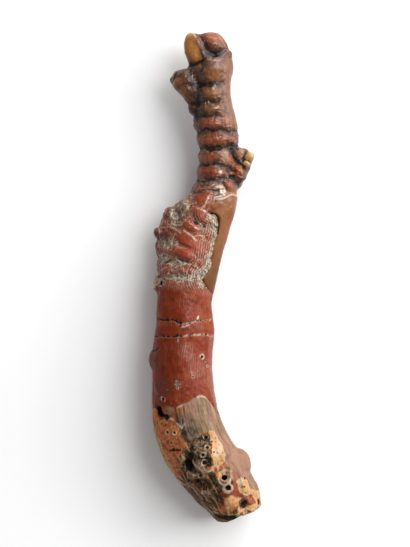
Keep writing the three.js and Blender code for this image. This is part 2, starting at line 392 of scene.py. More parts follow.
def carveForms(skin):
    lift = np.zeros(len(skin.at))
    skin.roughEdge = skin.grain(1.2, 12.7)
    for form in (crownForm, stubForm, knuckleForm, burrForm, holdfastForm):
        for stop, radius, height in form.get("dabs", []):
            distance, _ = skin.away(skin.onTop(stop), 2 * radius)
            lift += height * (1 - rise(0.0, 1.25 * radius, distance))
        for stop, half, tilt, height in form.get("pads", []):
            out = skin.oval(stop, half, tilt) + 0.18 * skin.roughEdge
            lift += height * (1 - rise(0.50, 1.15, out))
        for width, depth, *stops in form.get("grooves", []):
            distance, share = skin.away(skin.line(stops), 4 * width)
            ends = rise(0.0, 0.12, share) * rise(0.0, 0.12, 1 - share)
            lift -= depth * near(distance, width) * (0.35 + 0.65 * ends)
    lift += 0.10 * skin.grain(4.0, 3.1)
    skin.move(lift)


# Carving the finer forms: rings, edges, cracks and bored holes.
ringsMake = {
    # along, slope to the right, bend past the middle, depth, width, reach to the right
    "rings": [
        (0.886, 0.0, 0.0, 0.24, 0.5, 0.25), (0.852, 0.002, 0.0, 0.3, 0.42, 0.6),
        (0.824, -0.002, 0.0, 0.28, 0.42, 0.55), (0.794, 0.001, 0.0, 0.36, 0.36, 1.3),
        (0.76, 0.001, 0.006, 0.5, 0.7, 1.6), (0.728, -0.001, -0.016, 0.4, 0.38, 1.6),
        (0.696, 0.001, 0.01, 0.42, 0.42, 1.6), (0.675, 0.001, 0.0, 0.26, 0.34, 0.6),
    ],
    "pillow": 0.55,  # how far the pads swell between two rings
}
flapMake = {
    "top": [
        (0.659, 1.1), (0.664, 0.94), (0.668, 0.78), (0.661, 0.56), (0.657, 0.42), (0.657, 0.23),
    ],
    "redTop": [(0.657, 0.23), (0.643, 0.09), (0.633, 0.01)],
    "notch": [
        (0.629, 0.17), (0.627, 0.34), (0.619, 0.49), (0.609, 0.56), (0.597, 0.61), (0.587, 0.64),
    ],
    "edge": [
        (0.587, 0.64), (0.573, 0.64), (0.56, 0.64), (0.548, 0.66), (0.536, 0.67), (0.522, 0.72),
        (0.512, 0.66), (0.504, 0.59), (0.498, 0.5), (0.486, 0.6), (0.476, 0.77), (0.466, 0.94),
    ],
    "proud": 0.26,
}
flapOutline = [
    (0.661, 1.33), *flapMake["top"][1:5], (0.655, 0.24), (0.641, 0.10), (0.631, 0.02), (0.628, 0.21),
    *flapMake["notch"][1:], *flapMake["edge"][1:], (0.462, 1.27), (0.576, 1.61),
]
ribReach = 16.0  # mm from the flap's edge over which the ribs are counted
sheathMake = {
    "edge": [
        (0.241, -0.26), (0.247, -0.04), (0.253, 0.15), (0.259, 0.28), (0.262, 0.41),
        (0.264, 0.57), (0.259, 0.71), (0.249, 0.81), (0.238, 0.86), (0.223, 0.92), (0.208, 0.96),
        (0.195, 0.93),
    ],
    "proud": 0.24,
}
sheathOutline = [
    *sheathMake["edge"][:-1],
    (0.197, 0.94), (0.186, 1.12), (0.108, 1.25), (0.036, 1.45), (0.034, 0.89), (0.064, 0.85),
    (0.061, 0.73), (0.071, 0.59), (0.099, 0.67), (0.116, 0.55), (0.125, 0.44), (0.137, 0.39),
    (0.153, 0.37), (0.176, 0.5), (0.192, 0.47), (0.185, 0.21), (0.169, -0.1), (0.175, -0.24),
    (0.197, -0.23), (0.221, -0.3),
]
crackMake = {
    "lines": [
        (0.27, 0.32, (0.417, -1.08), (0.414, -0.74), (0.415, -0.43), (0.411, -0.22),
         (0.407, -0.08), (0.409, 0.19), (0.413, 0.46), (0.412, 0.73), (0.416, 0.98)),
        (0.22, 0.16, (0.411, -0.29), (0.401, -0.14), (0.403, 0.05), (0.408, 0.19)),
        (0.22, 0.26, (0.381, -0.99), (0.381, -0.61), (0.381, -0.34), (0.383, -0.19),
         (0.383, 0.01), (0.387, 0.23), (0.385, 0.46), (0.387, 0.66), (0.382, 0.93)),
        (0.14, 0.08, (0.389, -0.23), (0.381, -0.18), (0.373, -0.16)),
        (0.3, 0.25, (0.353, -1.0), (0.35, -0.85), (0.357, -0.75)),
    ],
}
holeMake = {
    # bored holes: stop, radius, depth, pale rim
    "holes": [
        ((0.257, -0.64), 0.4, 0.6, 1.0), ((0.191, -0.62), 0.38, 0.7, 1.0),
        ((0.191, -0.43), 0.36, 0.6, 1.0), ((0.1, 0.3), 0.75, 1.1, 0.6),
        ((0.081, 0.27), 0.75, 0.6, 0.7), ((0.096, 0.76), 0.34, 0.6, 0.3),
        ((0.08, 0.67), 0.22, 0.4, 0.6), ((0.341, 0.66), 0.42, 0.3, 1.0),
        ((0.132, -0.03), 0.5, 0.4, 0.8), ((0.163, 0.22), 0.4, 0.4, 0.6),
        ((0.148, 0.02), 0.45, 0.4, 0.7), ((0.181, 0.33), 0.45, 0.5, 0.4),
        ((0.153, 0.31), 0.3, 0.3, 0.2), ((0.173, 0.42), 0.25, 0.3, 0.2),
        ((0.14, -0.92), 0.35, 0.4, 0.5), ((0.17, -0.61), 0.3, 0.3, 0.4),
        ((0.322, 0.83), 0.2, 0.2, 0.8), ((0.333, 0.79), 0.2, 0.2, 0.8),
        ((0.302, 0.37), 0.25, 0.2, 0.5), ((0.488, -0.89), 0.6, 0.6, 0.2),
    ],
}


def add(masks, name, values):
    masks[name] = np.maximum(masks[name], values)


def ringLine(skin, row, wobble):  # signed distance along the branch from a ring, in mm
    along, slope, bend = row[:3]
    level = along + slope * skin.across + bend * np.clip(skin.across - 0.1, 0, 1)
    return (skin.along - level) * branchLength + wobble


def carveRings(skin, masks):
    wobble = 0.45 * skin.grain(2.6, 7.3) + 0.16 * skin.grain(0.9, 2.7)
    lift = np.zeros(len(skin.at))
    ragged = rise(-0.45, 0.45, skin.grain(1.3, 17.3))
    ringed = rise(0.668, 0.690, skin.along) * (1 - rise(0.915, 0.935, skin.along))
    nearest = np.full(len(skin.at), 9.0)
    for row in ringsMake["rings"]:
        depth, width, reach = row[3:]
        distance = np.abs(ringLine(skin, row, wobble))
        kept = 1 - rise(reach - 0.35, reach, skin.across) * rise(-0.6, -0.2, skin.front + 0.3)
        kept = kept * rise(-1.30, -0.95, skin.across)
        uneven = 0.62 + 0.55 * ragged
        under = 0.55 + 0.45 * skin.upward
        cut = near(distance, width * uneven) * kept * under
        lift -= depth * cut * (0.5 + 0.5 * uneven)
        lift += 0.055 * np.sin(distance * 7.5) * near(distance - 0.9, 0.9) * kept
        nearest = np.minimum(nearest, distance + 3 * (1 - kept))
        black = near(distance, width * 0.75 * uneven) * kept * under * (0.35 + 0.65 * ragged)
        add(masks, "dirtAndShade", black * min(1.0, depth / 0.38))
        add(masks, "veil", near(distance, 1.25) * kept * (depth / 0.45))
    lift += ringsMake["pillow"] * ringed * (rise(0.0, 2.1, nearest) - 0.5) * 0.5
    # lengthwise creases part the rings into pads
    crease = skin.cells(3.1, 5.5, (1.15, 0.42, 1.15))
    older = 1 - 0.75 * rise(0.80, 0.84, skin.along)
    lift -= 0.10 * ringed * near(crease, 0.10) * older
    add(masks, "dirtAndShade", 0.22 * ringed * near(crease, 0.07) * older)
    masks["ringed"] = ringed
    return lift


def carveFlap(skin, masks):
    wobble = 0.25 * skin.grain(1.4, 11.0)
    flap = skin.inside(flapOutline, 0.18)
    worn = rise(0.470, 0.500, skin.along) * (1 - rise(0.640, 0.668, skin.along))
    right = rise(0.55, 0.80, skin.across) * (1 - skin.upward) * worn
    flap = np.maximum(flap, right)
    lift = flapMake["proud"] * (flap - 0.5) * rise(0.45, 0.48, skin.along)
    lift = lift * (1 - rise(0.67, 0.70, skin.along)) * rise(-0.3, 0.3, skin.across + 0.2)
    edge, notch, top, redTop = [
        skin.away(skin.line(flapMake[name]))[0] for name in ("edge", "notch", "top", "redTop")
    ]
    lift -= 0.30 * near(notch + wobble * 0.3, 0.28)
    lift -= 0.16 * near(edge + wobble, 0.26)
    lift += 0.12 * near(top, 0.30)
    masks["tan"] = flap
    add(masks, "dirtAndShade", 0.95 * near(notch, 0.24))
    ragged = rise(-0.35, 0.25, skin.grain(1.1, 4.0))
    add(masks, "dirtAndShade", 0.85 * near(edge + 0.1, 0.24) * ragged)
    add(masks, "cream", near(top, 0.17))
    add(masks, "cream", 0.5 * near(redTop, 0.2) * ragged)
    # the ribs run beside the flap's edge, so their place is the distance from it
    whole = np.minimum(edge, notch)
    masks["ribPlace"] = np.clip(whole / ribReach, 0, 1)
    ribs = (1 - flap) * (1 - rise(3.2, 6.5, whole + 1.2 * wobble)) * rise(0.466, 0.490, skin.along)
    masks["ribs"] = ribs * (1 - rise(0.612, 0.640, skin.along)) * skin.upward
    narrow = rise(0.535, 0.560, skin.along) * (1 - rise(0.58, 0.60, skin.along))
    reach = whole + wobble * 2.2 + 0.9 * narrow
    masks["creamRibs"] = (1 - rise(1.5, 2.6, reach)) * masks["ribs"]
    return lift


def carveSheath(skin, masks):
    sheath = skin.inside(sheathOutline, 0.2)
    low = 1 - rise(0.215, 0.250, skin.along + 0.012 * skin.grain(3.0, 8.8))
    side = rise(-0.2, 0.5, skin.across + 0.2 * skin.grain(4.0, 1.9))
    sheath = np.maximum(sheath, low * side * (1 - skin.upward))
    edge, _ = skin.away(skin.line(sheathMake["edge"]))
    lift = sheathMake["proud"] * sheath
    right = rise(0.62, 0.75, skin.across)
    lift -= 0.28 * near(edge, 0.25) * right
    lift -= 0.08 * near(edge, 0.22) * (1 - right)
    masks["sheath"] = sheath
    shade = 1 - rise(-0.25, 0.30, skin.across + 0.15 * skin.grain(2.0, 4.4))
    masks["sheathShade"] = sheath * shade
    add(masks, "dirtAndShade", 0.9 * near(edge + 0.05, 0.22) * right)
    worn = rise(-0.5, 0.3, skin.grain(1.6, 3.3))
    add(masks, "cream", 0.5 * near(edge - 0.12, 0.16) * (1 - 0.5 * right) * worn)
    return lift


def carveCracks(skin, masks):
    lift = np.zeros(len(skin.at))
    wobble = 0.22 * skin.grain(0.8, 6.0)
    for width, depth, *stops in crackMake["lines"]:
        distance, share = skin.away(skin.line(stops))
        distance = distance + wobble * 0.5
        lift -= depth * near(distance, width)
        left = 1 - rise(-0.25, 0.05, skin.across)
        add(masks, "dirtAndShade", near(distance, width) * (0.25 + 0.75 * left))
        pale = near(distance - 0.16, 0.14) * (0.30 + 0.70 * (1 - left))
        pale *= rise(-0.5, 0.3, wobble * 4)
        add(masks, "cream", 0.85 * pale)
    return lift


def carveHoles(skin, masks):
    lift = np.zeros(len(skin.at))
    for stop, radius, depth, rim in holeMake["holes"]:
        distance, _ = skin.away(skin.onTop(stop), 4 * radius + 1)
        distance = distance * (1 + 0.12 * skin.grain(0.7, radius * 10))
        lift -= depth * (1 - rise(0.55 * radius, 1.15 * radius, distance))
        ring = near(distance - 1.35 * radius, 0.28 * radius + 0.07)
        lift += 0.14 * rim * ring
        add(masks, "dirtAndShade", 1 - rise(0.75 * radius, 1.1 * radius, distance))
        worn = rise(-0.5, 0.3, skin.grain(0.9, 20 * radius))
        add(masks, "cream", 0.85 * rim * ring * worn)
    return lift


# Zones that are only seen as a change of colour: outlines, then ovals of a stop, half sizes and
# tilt, and lines of a width, a strength and their stops.
outlines = {
    "crust": [
        (0.235, -1.07), (0.236, -0.84), (0.221, -0.76), (0.214, -0.6), (0.22, -0.44),
        (0.211, -0.32), (0.201, -0.19), (0.185, -0.29), (0.169, -0.4), (0.157, -0.37),
        (0.142, -0.57), (0.119, -0.68), (0.096, -0.73), (0.091, -0.92), (0.117, -0.88),
        (0.143, -0.89), (0.173, -0.91), (0.203, -0.94),
    ],
    "creamLeft": [
        (0.204, -0.97), (0.181, -0.91), (0.153, -0.88), (0.125, -0.85), (0.095, -0.84),
        (0.081, -0.82), (0.082, -0.95), (0.108, -1.04), (0.149, -1.06), (0.19, -1.09),
    ],
    "creamKnob": [
        (0.194, 0.49), (0.192, 0.63), (0.172, 0.61), (0.146, 0.53), (0.131, 0.41), (0.121, 0.27),
        (0.122, 0.16), (0.146, 0.21), (0.165, 0.35),
    ],
    "creamRight": [
        (0.092, 0.53), (0.099, 0.69), (0.094, 0.79), (0.073, 0.78), (0.063, 1.07), (0.036, 1.2),
        (0.029, 0.94), (0.03, 0.72), (0.038, 0.55), (0.045, 0.86), (0.064, 0.8), (0.06, 0.62),
        (0.067, 0.52),
    ],
    "pink": [
        (0.136, 0.53), (0.158, 0.85), (0.162, 1.29), (0.108, 1.11), (0.097, 0.81), (0.107, 0.66),
        (0.096, 0.46), (0.109, 0.45),
    ],
    "redLow": [
        (0.108, 0.52), (0.111, 0.67), (0.094, 0.74), (0.069, 0.74), (0.057, 0.88), (0.039, 0.93),
        (0.032, 0.7), (0.048, 0.57), (0.061, 0.46), (0.064, 0.21), (0.06, -0.02), (0.072, 0.02),
        (0.076, 0.34), (0.092, 0.49),
    ],
    "darkLow": [
        (0.153, -0.46), (0.163, -0.19), (0.185, 0.18), (0.193, 0.42), (0.177, 0.45),
        (0.126, 0.13), (0.118, -0.04), (0.112, 0.11), (0.093, 0.06), (0.072, 0.07),
        (0.056, -0.24), (0.035, -0.2), (0.037, -0.61), (0.059, -0.72), (0.085, -0.77),
        (0.116, -0.63),
    ],
    "umber": [
        (0.108, -0.61), (0.109, -0.22), (0.114, 0.12), (0.089, 0.15), (0.056, -0.05),
        (0.051, -0.42), (0.057, -0.68), (0.077, -0.74),
    ],
    "nodule": [
        (0.058, 0.02), (0.064, 0.27), (0.059, 0.45), (0.043, 0.33), (0.031, 0.11), (0.039, -0.08),
    ],
    "pale": [
        (0.937, 0.54), (0.946, 0.82), (0.927, 0.94), (0.893, 1.02), (0.852, 0.99), (0.806, 0.91),
        (0.805, 0.72), (0.829, 0.59), (0.857, 0.63), (0.889, 0.63), (0.916, 0.46),
    ],
}
# a paler pink strip down the right flank of the red stem: partly a paler outer layer, partly painted
# light from the right
rightLow = [
    (0.384, 0.83), (0.385, 1.03), (0.308, 1.11), (0.227, 1.06), (0.229, 0.92), (0.266, 0.86),
    (0.287, 0.78), (0.338, 0.85),
]
patches = {
    "bright": [
        ((0.622, -0.08), (3.3, 1.5), -36), ((0.602, -0.37), (2.5, 1.15), -32),
        ((0.572, -0.28), (3.6, 2.1), -36), ((0.546, -0.26), (3.4, 1.6), -20),
        ((0.643, 0.16), (2.8, 1.2), 30), ((0.663, -0.32), (2.2, 2.3), 0),
        ((0.716, -0.36), (2.6, 1.5), 0), ((0.56, 0.1), (2.6, 2.2), -45),
    ],
    "maroon": [
        ((0.629, -1.16), (1.5, 2.2), 10), ((0.592, -1.37), (1.2, 1.3), 0),
        ((0.585, -1.06), (1.6, 1.4), 15), ((0.334, -0.86), (2.0, 3.2), 0),
        ((0.279, -0.66), (2.4, 2.6), 0),
    ],
    "grey": [
        ((0.49, -0.92), (1.3, 1.2), 0), ((0.628, -0.99), (2.2, 2.8), -30),
        ((0.539, -0.85), (1.6, 1.2), 0), ((0.528, -0.4), (2.6, 1.2), 0),
        ((0.569, -0.88), (2.6, 1.4), 0), ((0.5, -0.17), (5.0, 0.9), 0),
        ((0.648, -0.91), (1.6, 1.6), 30), ((0.286, -0.14), (0.75, 1.2), 10),
    ],
    # pale spots: the ovals on the lowest rings are painted highlights, and the spur's tip is pale
    # skeleton
    "white": [
        ((0.673, 0.41), (0.7, 1.2), 25), ((0.712, 0.23), (0.5, 0.5), 0),
        ((0.681, 0.18), (1.0, 0.4), 15), ((0.419, 0.46), (0.25, 0.6), -20),
        ((0.495, -1.31), (1.4, 1.3), 0),
    ],
    "amber": [((0.745, 1.65), (1.1, 1.6), 0), ((0.731, 1.53), (0.9, 0.8), 0)],
    "pads": [
        # the first oval is a painted highlight on the crown's dome; the rest are amber pad centres
        ((0.975, 0.2), (2.3, 1.5), -20), ((0.87, 0.09), (2.5, 1.5), 0),
        ((0.844, 0.02), (2.5, 1.3), 0), ((0.814, -0.24), (3.2, 1.5), 0),
        ((0.78, -0.45), (3.2, 1.5), 0), ((0.742, -0.51), (2.4, 1.3), 0),
        ((0.714, -0.36), (3.0, 1.7), 0), ((0.908, -0.0), (2.6, 1.9), 0),
        ((0.895, -1.64), (1.4, 1.0), 30), ((0.877, -1.32), (1.0, 1.6), 30),
        ((0.667, -0.35), (2.6, 2.2), 0),
    ],
    "flake": [
        ((0.751, 1.04), (1.6, 1.9), -20), ((0.742, 0.34), (1.5, 2.4), 15),
        ((0.234, -0.46), (1.5, 1.1), 30),
    ],
    "berry": [((0.713, 1.06), (1.9, 1.5), 20)],
    "knobPit": [((0.15, -0.0), (2.3, 3.4), 22), ((0.169, 0.07), (1.9, 1.7), 0)],
}
# painted sheen: ovals where the finish lays a pale pink veil for the gloss on the red stem and on the
# shoulder below the crown
paintedSheen = [
    ((0.352, 0.15), (2.4, 2.8), 0), ((0.318, 0.51), (2.2, 3.2), 10),
    ((0.47, 0.72), (2.0, 1.2), -30), ((0.488, -0.34), (4.0, 1.6), 0),
    ((0.928, 0.15), (2.4, 1.6), 0),
]
lineMarks = {
    "cream": [
        (0.26, 0.65, (0.111, 0.28), (0.117, 0.41), (0.11, 0.51), (0.096, 0.44), (0.086, 0.28),
         (0.087, 0.14), (0.099, 0.15), (0.111, 0.28)),
        (0.24, 0.75, (0.072, 0.12), (0.085, 0.17), (0.088, 0.32), (0.082, 0.38), (0.074, 0.33),
         (0.07, 0.2), (0.072, 0.12)),
        (0.4, 0.6, (0.131, -0.28), (0.117, -0.23), (0.11, -0.08), (0.118, 0.12)),
        (0.17, 1.0, (0.638, -0.33), (0.634, -0.1), (0.627, 0.11), (0.623, 0.2)),
        (0.16, 0.9, (0.608, -0.4), (0.599, -0.15), (0.595, 0.0)),
        (0.15, 0.8, (0.593, -0.5), (0.586, -0.26), (0.574, -0.0)),
        (0.17, 0.8, (0.643, -1.33), (0.631, -1.15), (0.618, -1.15), (0.605, -0.92),
         (0.605, -0.68)),
        (0.16, 0.6, (0.605, -0.68), (0.617, -0.56), (0.627, -0.43)),
        (0.17, 0.8, (0.6, -1.28), (0.602, -1.03), (0.597, -0.79), (0.589, -0.6)),
        (0.17, 0.7, (0.594, -1.31), (0.58, -1.24), (0.571, -1.06), (0.571, -0.82)),
        (0.18, 0.7, (0.595, -0.78), (0.581, -0.75), (0.569, -0.81), (0.56, -0.51), (0.558, -0.21)),
        (0.21, 0.7, (0.674, -0.88), (0.655, -0.71), (0.641, -0.67), (0.631, -0.77)),
        (0.2, 0.35, (0.496, -0.73), (0.499, -0.43), (0.496, -0.09), (0.492, 0.19)),
        (0.2, 0.5, (0.53, -0.6), (0.522, -0.38), (0.528, -0.14)),
        (0.15, 0.8, (0.704, 0.58), (0.694, 0.81), (0.684, 1.07), (0.674, 1.12), (0.661, 1.06)),
        (0.13, 0.7, (0.694, -0.71), (0.683, -0.41), (0.681, -0.15), (0.687, -0.01)),
        (0.16, 0.5, (0.68, -0.55), (0.677, -0.13), (0.681, 0.18)),
        (0.17, 0.7, (0.663, -0.13), (0.647, -0.11), (0.639, -0.2)),
        (0.13, 0.9, (0.992, -1.53), (0.98, -1.05), (0.964, -0.74), (0.951, -0.55)),
        (0.13, 0.3, (0.938, -0.26), (0.934, -0.01), (0.935, 0.29), (0.941, 0.54)),
        (0.17, 1.0, (0.221, -0.76), (0.214, -0.6), (0.221, -0.44), (0.212, -0.32), (0.202, -0.18)),
        (0.15, 0.9, (0.201, -0.19), (0.209, -0.1)),
        (0.2, 0.8, (0.142, -0.57), (0.133, -0.48), (0.116, -0.51), (0.105, -0.41), (0.107, -0.28)),
        (0.3, 0.9, (0.128, -0.25), (0.116, -0.17), (0.114, 0.01)),
        (0.2, 0.6, (0.096, -0.76), (0.08, -0.67), (0.064, -0.59)),
        (0.16, 0.9, (0.028, -0.54), (0.023, -0.27), (0.023, 0.17), (0.028, 0.38), (0.036, 0.49)),
        (0.16, 0.8, (0.038, 0.55), (0.032, 0.77), (0.038, 0.9)),
        (0.13, 0.7, (0.055, 0.41), (0.059, 0.48), (0.06, 0.56)),
        (0.13, 0.7, (0.278, -0.89), (0.266, -0.83)),
        (0.13, 0.8, (0.742, 0.91), (0.739, 1.13), (0.749, 1.3)),
    ],
    # dark marks: dirt in furrows, cracks, seams and holes, and painted shade under the burr's pads
    "dirtAndShade": [
        (1.0, 1.0, (0.95, -0.28), (0.947, -0.02), (0.948, 0.25)),
        (0.9, 0.6, (0.961, -0.45), (0.954, -0.28), (0.954, 0.04), (0.955, 0.47)),
        (0.25, 0.6, (0.948, 0.25), (0.953, 0.58), (0.964, 0.92)),
        (0.18, 0.6, (0.942, -0.37), (0.937, -0.06), (0.938, 0.29)),
        (0.5, 0.9, (0.925, -1.27), (0.928, -0.99), (0.933, -0.7), (0.938, -0.46)),
        (0.6, 0.85, (0.867, -0.58), (0.849, -0.71), (0.834, -0.8), (0.819, -0.8)),
        (0.5, 0.9, (0.889, -0.64), (0.887, -0.34), (0.888, -0.05)),
        (0.3, 0.8, (0.891, -1.92), (0.903, -1.8), (0.915, -1.68)),
        (0.5, 0.9, (0.933, -0.55), (0.922, -0.47), (0.914, -0.5)),
        (0.5, 0.95, (0.761, -0.57), (0.758, -0.18), (0.757, 0.16)),
        (0.5, 0.95, (0.763, 0.74), (0.747, 0.79), (0.738, 0.97), (0.729, 1.2), (0.721, 1.4)),
        (0.32, 0.9, (0.755, 1.42), (0.747, 1.36), (0.739, 1.28), (0.733, 1.35)),
        (0.26, 0.9, (0.737, 1.34), (0.737, 1.54), (0.734, 1.71)),
        (0.45, 0.9, (0.72, 0.58), (0.708, 0.67), (0.697, 0.85), (0.684, 1.07)),
        (0.28, 0.7, (0.695, 0.27), (0.685, 0.42), (0.674, 0.61)),
        # painted shade: these two lines darken the creases under the burr's pads, where shade falls
        (0.4, 0.45, (0.613, -0.33), (0.604, -0.08), (0.602, 0.16)),
        (0.4, 0.5, (0.538, -0.49), (0.532, -0.21), (0.53, 0.02)),
        (0.3, 0.9, (0.53, -0.8), (0.533, -0.67)),
        (1.0, 1.0, (0.117, -0.41), (0.133, -0.38), (0.147, -0.25)),
        (0.62, 1.0, (0.238, -0.81), (0.231, -0.72), (0.224, -0.61), (0.216, -0.57)),
        (0.75, 1.0, (0.042, 0.47), (0.05, 0.55)),
        (0.7, 1.0, (0.019, -0.57), (0.016, -0.21), (0.015, 0.18), (0.017, 0.56)),
        (0.35, 1.0, (0.05, 0.91), (0.043, 0.94), (0.036, 0.91)),
        (0.4, 0.9, (0.153, -0.76), (0.156, -0.61), (0.157, -0.46)),
        (0.5, 0.8, (0.096, -0.91), (0.093, -0.81), (0.088, -0.75)),
        (0.35, 0.9, (0.13, 0.01), (0.122, 0.09), (0.142, 0.15)),
        (0.35, 0.9, (0.181, 0.18), (0.175, 0.26), (0.177, 0.35)),
        (0.5, 0.7, (0.052, -0.6), (0.047, -0.46), (0.039, -0.32)),
    ],
    "veil": [
        (2.0, 1.0, (0.956, -0.34), (0.952, -0.02), (0.954, 0.36), (0.96, 0.72)),
        (1.2, 0.9, (0.992, -0.98), (0.976, -0.55), (0.963, -0.34)),
        (1.2, 0.8, (0.923, -1.27), (0.926, -0.98), (0.929, -0.69), (0.932, -0.45)),
        (1.5, 1.0, (0.933, -0.55), (0.916, -0.46), (0.896, -0.36)),
        (2.2, 1.0, (0.913, -1.04), (0.894, -0.79), (0.881, -0.63), (0.867, -0.58), (0.849, -0.71),
         (0.834, -0.8), (0.819, -0.8)),
        (1.3, 0.9, (0.901, -1.06), (0.89, -0.54), (0.888, -0.0), (0.888, 0.34)),
        (1.4, 0.7, (0.909, -1.77), (0.913, -1.38), (0.909, -1.08)),
        (1.0, 0.6, (0.893, -1.44), (0.881, -1.12), (0.862, -0.88)),
        (1.2, 0.8, (0.763, -0.86), (0.76, -0.38), (0.757, 0.16), (0.765, 0.69)),
        (1.3, 0.6, (0.748, 0.89), (0.729, 1.2), (0.715, 1.43)),
        (1.6, 0.8, (0.701, 0.81), (0.69, 1.08)),
        (2.0, 0.5, (0.643, -1.22), (0.625, -0.86), (0.611, -0.89)),
        (0.9, 0.5, (0.592, -1.39), (0.565, -1.26), (0.531, -1.08), (0.504, -0.96)),
        (1.1, 0.6, (0.958, -0.67), (0.976, -0.87), (0.99, -1.11)),
    ],
}


def ovals(skin, rows, soften=0.35):
    total = np.zeros(len(skin.at))
    for stop, half, tilt in rows:
        reach = skin.oval(stop, half, tilt) + skin.roughEdge * 0.22
        total = np.maximum(total, 1 - rise(1 - soften, 1 + soften * 0.5, reach))
    return total


def lines(skin, rows):
    total = np.zeros(len(skin.at))
    for width, strength, *stops in rows:
        distance, _ = skin.away(skin.line(stops), 3.5)
        total = np.maximum(total, strength * near(distance + 0.12 * skin.roughEdge, width))
    return total


def paintZones(skin, masks):
    warped = 0.35 * skin.roughEdge
    skin.at[:, 0] += warped
    skin.at[:, 1] -= warped
    for name, stops in outlines.items():
        masks[name] = skin.inside(stops, 0.3)
    skin.at[:, 0] -= warped
    skin.at[:, 1] += warped
    for name, rows in patches.items():
        masks[name] = ovals(skin, rows)
    for name, rows in lineMarks.items():
        add(masks, name, lines(skin, rows))
    masks["dirtAndShade"] *= 1 - 0.85 * masks["berry"]
    masks["paintedSheen"] = ovals(skin, paintedSheen, 0.8)
    spurTip = rise(1.04, 1.14, -skin.across) * (1 - rise(0.014, 0.020, np.abs(skin.along - 0.494)))
    knob = rise(0.672, 0.685, skin.along) * (1 - rise(0.765, 0.775, skin.along))
    masks["knob"] = knob * rise(0.95, 1.15, skin.across)
    masks["white"] = np.maximum(masks["white"], spurTip)
    masks["rightLow"] = skin.inside(rightLow, 0.35)
    # the finger is amber all over, from the fork up
    x, y = spot(0.955, -0.66)
    finger = rise(0.0, 0.6, x - skin.at[:, 0] - 0.31 * (skin.at[:, 1] - y))
    masks["finger"] = finger * rise(0.925, 0.945, skin.along + 0.03 * skin.across + 0.03)
    # the unseen side and the flanks of the burr and holdfast are crackled in the same way
    burr = rise(0.470, 0.505, skin.along) * (1 - rise(0.650, 0.685, skin.along))
    burr *= 1 - rise(0.35, 0.65, skin.across)
    masks["burr"] = burr * (1 - masks["tan"])
    crack = skin.cells(2.3, 9.1)
    netted = masks["burr"] * (1 - 0.85 * masks["bright"]) * (1 - 0.7 * masks["maroon"])
    lift = netted * (0.22 * rise(0.05, 0.5, crack) - 0.14)
    masks["net"] = netted * near(crack, 0.10) * rise(-0.5, 0.4, skin.grain(3.0, 15.0))
    foot = 1 - rise(0.205, 0.245, skin.along + 0.010 * skin.roughEdge)
    masks["foot"] = foot * (1 - masks["sheath"])
    pocks = skin.cells(1.5, 3.3)
    rough = masks["foot"] * (1 - 0.75 * masks["crust"])
    lift += rough * (0.13 * skin.grain(2.0, 6.6) + 0.05 * skin.grain(0.7, 2.2))
    lift -= rough * 0.05 * near(pocks, 0.08)
    return lift


def fillWebs(skin):
    lift = np.zeros(len(skin.at))
    for stop, radius, height in webs:
        distance, _ = skin.away(skin.onTop(stop), 2 * radius)
        lift += height * (1 - rise(0.0, 1.4 * radius, distance))
    skin.move(lift)


def shaped():
    skin = Skin(grownSkin())
    fillWebs(skin)
    remeshed(skin.piece, skinMake["firstVoxel"], evenTurns=2)
    skin = Skin(skin.piece)
    print("skin grown:", len(skin.at), "points")
    carveForms(skin)
    remeshed(skin.piece, skinMake["voxel"], evenTurns=1)
    skin = Skin(skin.piece)
    print("forms carved:", len(skin.at), "points")
    skin.roughEdge = skin.grain(1.2, 12.7)
    masks = {name: np.zeros(len(skin.at)) for name in ("dirtAndShade", "cream", "veil")}
    lift = carveRings(skin, masks)
    lift += carveFlap(skin, masks)
    lift += carveSheath(skin, masks)
    lift += carveCracks(skin, masks)
    lift += carveHoles(skin, masks)
    lift += paintZones(skin, masks)
    lift += 0.035 * skin.grain(0.7, 5.0) + 0.05 * skin.grain(1.9, 1.0)
    skin.move(lift)
    skin = Skin(skin.piece)
    fine = skin.hollow(6)
    broad = skin.hollow(40)
    # painted shade: the finish darkens each point by how deep it lies in a hollow
    masks["hollow"] = rise(0.015, 0.11, fine) * 0.6 + rise(0.05, 0.32, broad) * 0.7
    masks["ridge"] = rise(0.010, 0.07, -fine)
    masks["along"] = skin.along
    for name, values in masks.items():
        skin.keep(name, values)
    turn = skin.mesh.attributes.new("girth", "FLOAT_VECTOR", "POINT")
    round_ = np.stack([np.cos(skin.angle), np.sin(skin.angle), 0 * skin.angle], 1)
    turn.data.foreach_set("vector", round_.astype(np.float32).ravel())
    print("surface carved and masks kept:", sorted(masks))
    under = skin.piece.vertex_groups.new(name="under")
    under.add(np.where((skin.upward < 0.5) & (np.abs(skin.across) < 0.99))[0].tolist(), 1.0, "REPLACE")
    lighter = skin.piece.modifiers.new("lighter", "DECIMATE")
    lighter.ratio = skinMake["lighter"]
    lighter.vertex_group = "under"
    applied(skin.piece)
    skin.piece.vertex_groups.clear()
    skin.mesh = skin.piece.data
    return skin


# Finishes: sockets that take part in sums, then a material, then the colours of this coral.
def feed(slot, value):  # a wire is linked, a plain value is set
    if isinstance(value, Wire):
        slot.id_data.links.new(value.socket, slot)
    else:
        slot.default_value = value


